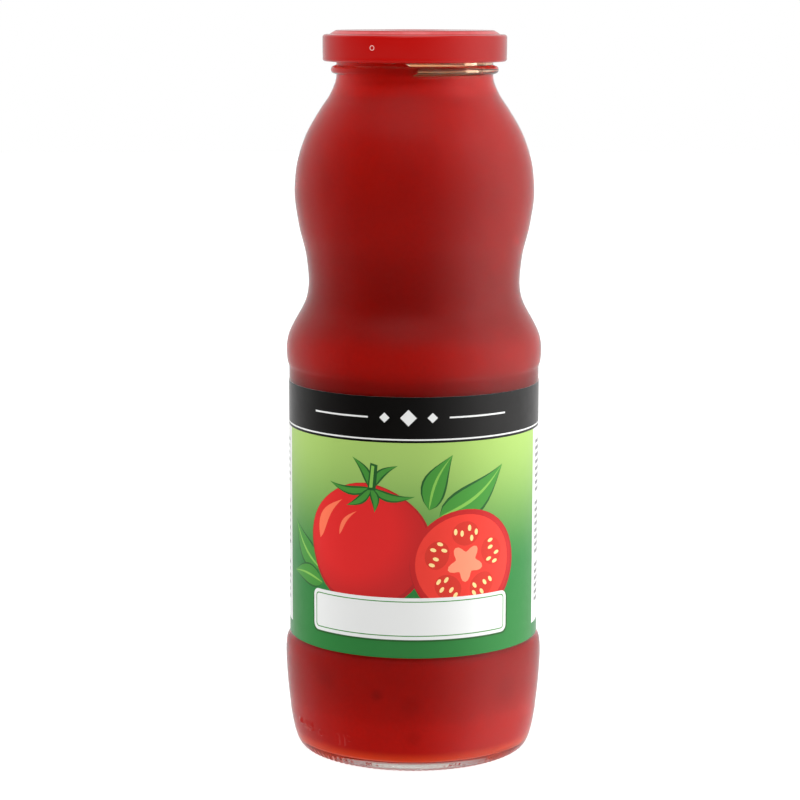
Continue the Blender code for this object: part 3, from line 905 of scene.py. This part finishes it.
world = bpy.data.worlds.new("studio")
bpy.context.scene.world = world
world.use_nodes = True
tree = world.node_tree
tree.nodes.clear()
direction = addNode(tree, "ShaderNodeTexCoord").outputs["Generated"]
parts = addNode(tree, "ShaderNodeSeparateXYZ", links={0: direction})
flat = addNode(tree, "ShaderNodeCombineXYZ", links={0: parts.outputs[0], 1: parts.outputs[1]})
unit = addNode(tree, "ShaderNodeVectorMath", {"operation": "NORMALIZE"}, {0: flat.outputs[0]})
around = addNode(tree, "ShaderNodeSeparateXYZ", links={0: unit.outputs[0]})
# how far round towards the camera a direction points: 1 at the camera, -1 behind the bottle
towards = addNode(tree, "ShaderNodeMath", {"operation": "MULTIPLY", 1: -1.0}, {0: around.outputs[1]})
share = addNode(tree, "ShaderNodeMapRange", {"From Min": 1.0, "From Max": -1.0},
                {"Value": towards.outputs[0]})


def lightProfile(steps):
    # brightness of the surroundings from the camera's direction (0) round one side to behind the bottle (1)
    profile = addNode(tree, "ShaderNodeFloatCurve", links={"Value": share.outputs[0]})
    setCurve(profile, steps)
    return profile


rightSide = lightProfile(studio["rightSide"])
leftSide = lightProfile(studio["leftSide"])
isRight = addNode(tree, "ShaderNodeMapRange", {"From Min": -studio["blend"], "From Max": studio["blend"]},
                  {"Value": around.outputs[0]})
side = addNode(tree, "ShaderNodeMix", {"data_type": "FLOAT"},
               {"Factor": isRight.outputs[0], "A": leftSide.outputs[0], "B": rightSide.outputs[0]})
# towards straight up the sides fade into an even, dim ceiling
upwards = addNode(tree, "ShaderNodeMapRange", {
    "interpolation_type": "SMOOTHSTEP",
    "From Min": studio["ceilingFrom"][0], "From Max": studio["ceilingFrom"][1],
}, {"Value": parts.outputs[2]})
dome = addNode(tree, "ShaderNodeMix", {"data_type": "FLOAT", "B": studio["ceiling"]},
               {"Factor": upwards.outputs[0], "A": side.outputs[0]})
# a bright panel straight overhead, which the lid's sloping edge mirrors
overhead = addNode(tree, "ShaderNodeMapRange", {
    "From Min": studio["panelFrom"][0], "From Max": studio["panelFrom"][1],
}, {"Value": parts.outputs[2]})
sky = addNode(tree, "ShaderNodeMix", {"data_type": "FLOAT", "B": studio["panel"]},
              {"Factor": overhead.outputs[0], "A": dome.outputs[0]})
studioLight = addNode(tree, "ShaderNodeBackground", {"Color": (1.0, 1.0, 1.0, 1.0)},
                      {"Strength": sky.outputs[0]})
backdrop = addNode(tree, "ShaderNodeBackground", {"Color": (1.0, 1.0, 1.0, 1.0), "Strength": 1.0})
# the backdrop is white where it is seen, directly or through glass; elsewhere it gives the studio's light
seen = addNode(tree, "ShaderNodeLightPath")
unscattered = addNode(tree, "ShaderNodeMath", {"operation": "LESS_THAN", 1: 0.5},
                      {0: seen.outputs["Diffuse Depth"]})
throughGlass = addNode(tree, "ShaderNodeMath", {"operation": "MULTIPLY"},
                       {0: seen.outputs["Is Transmission Ray"], 1: unscattered.outputs[0]})
shown = addNode(tree, "ShaderNodeMath", {"operation": "MAXIMUM"},
                {0: seen.outputs["Is Camera Ray"], 1: throughGlass.outputs[0]})
both = addNode(tree, "ShaderNodeMixShader", links={
    0: shown.outputs[0], 1: studioLight.outputs[0], 2: backdrop.outputs[0],
})
addNode(tree, "ShaderNodeOutputWorld", links={"Surface": both.outputs[0]})

# soft lamps, each aimed at the bottle's axis, a little above its middle
aimHeight = 0.12
softboxes = {
    "topLight": {"place": (0.04, -0.08, 1.10), "size": 0.9, "power": 5.2},
    "frontLight": {"place": (-0.10, -0.72, 0.95), "size": 0.6, "power": 6.8},
    "leftLight": {"place": (-0.91, 0.42, 0.30), "size": 0.5, "power": 3.0},
    "rightLight": {"place": (1.0, 0.12, 0.30), "size": 0.5, "power": 2.7},
    "leftRimLight": {"place": (-0.91, 0.42, 0.28), "size": 0.5, "power": 5.5, "leaveOut": lidPiece},
    "rightRimLight": {"place": (1.0, 0.12, 0.28), "size": 0.5, "power": 10.0, "leaveOut": lidPiece},
}
for name, box in softboxes.items():
    lamp = bpy.data.lights.new(name, "AREA")
    lamp.shape = "SQUARE"
    lamp.size = box["size"]
    lamp.energy = box["power"]
    lampObject = linkObject(name, lamp)
    lampObject.location = box["place"]
    aim = lampObject.location.copy()
    aim.z -= aimHeight
    lampObject.rotation_euler = aim.to_track_quat("Z", "Y").to_euler()
    lampObject.visible_camera = False
    lampObject.visible_glossy = False
    if "leaveOut" in box:
        # the rim lights shine on everything but the lid
        lit = bpy.data.collections.new(name + "Receivers")
        lit.objects.link(box["leaveOut"])
        lit.collection_objects[0].light_linking.link_state = "EXCLUDE"
        lampObject.light_linking.receiver_collection = lit
print("floor and lights set")
